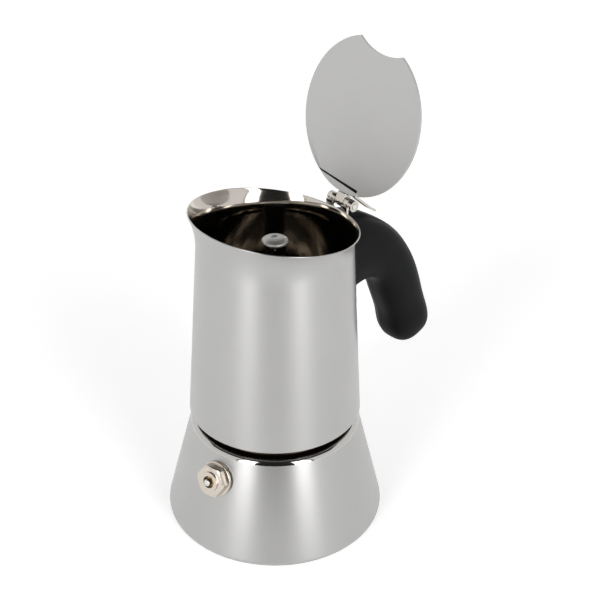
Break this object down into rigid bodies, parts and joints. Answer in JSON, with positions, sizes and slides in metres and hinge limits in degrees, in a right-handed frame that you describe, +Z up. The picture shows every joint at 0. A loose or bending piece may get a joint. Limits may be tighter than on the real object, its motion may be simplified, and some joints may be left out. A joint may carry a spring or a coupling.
{
  "type": "moka pot",
  "caption": "Stainless stove-top coffee maker: flared boiler with safety valve, screw-on tapered collector with tilted spout rim, hinged lid and black curved handle.",
  "frame": {"origin": "on the pot's axis, at the plane the base stands on", "axes": "+Z up along the pot's axis, +X toward the handle and the lid's hinge, the spout at -X"},
  "size_m": [0.1275, 0.09, 0.1921],
  "materials": {
    "satin_steel": "satin, with a polished shoulder and lip",
    "inner_steel": "plain drawn",
    "cap_steel": "satin",
    "lid_steel": "fine satin",
    "bright_steel": "polished",
    "spring_steel": "drawn wire",
    "nickel_brass": "nickel plated, warm",
    "brass": "turned",
    "silicone": "matte off-white",
    "black_plastic": "fine matte moulding"
  },
  "bodies": {
    "boiler": {"boiler_shell": "satin_steel", "boiler_base": "satin_steel", "valve_body": "nickel_brass", "valve_washer": "nickel_brass", "valve_gasket": "silicone", "valve_nut": "nickel_brass", "valve_retainer": "brass", "valve_spring": "spring_steel", "funnel_basket": "inner_steel", "funnel_stem": "inner_steel", "funnel_sieve": "inner_steel"},
    "relief_pin": {"valve_pin": "bright_steel", "valve_seal": "silicone"},
    "gasket_set": {"gasket": "silicone", "filter_plate": "inner_steel"},
    "collector": {"collector_shell": "satin_steel", "thread_ring": "inner_steel", "collector_floor": "inner_steel", "column": "inner_steel", "column_cap": "cap_steel", "hinge_bracket": "bright_steel", "hinge_pin": "bright_steel", "handle_grip": "black_plastic", "handle_screw": "bright_steel", "handle_bracket": "inner_steel"},
    "lid": {"lid_plate": "lid_steel", "lid_leaf": "bright_steel"}
  },
  "joints": [
    {"name": "collector_rise", "type": "slide", "parent": "boiler", "child": "gasket_set", "axis": [0, 0, 1], "range_m": [0, 0.0045]},
    {"name": "collector_turn", "type": "hinge", "parent": "gasket_set", "child": "collector", "pos_m": [0, 0, 0.055], "axis": [0, 0, 1], "range_deg": [0, 540]},
    {"name": "lid_hinge", "type": "hinge", "parent": "collector", "child": "lid", "pos_m": [0.0344, 0, 0.1301], "axis": [0, -1, 0], "range_deg": [0, 97]},
    {"name": "relief_pin_slide", "type": "slide", "parent": "boiler", "child": "relief_pin", "axis": [-0.9445, -0.2198, 0.2441], "range_m": [0, 0.0012], "stiffness_N_per_m": 1500, "springref_m": -0.001, "deforming": ["valve_spring"]}
  ],
  "couplings": [
    {"joint": "collector_rise", "follows": "collector_turn", "m_per_rad": 0.00047746}
  ]
}
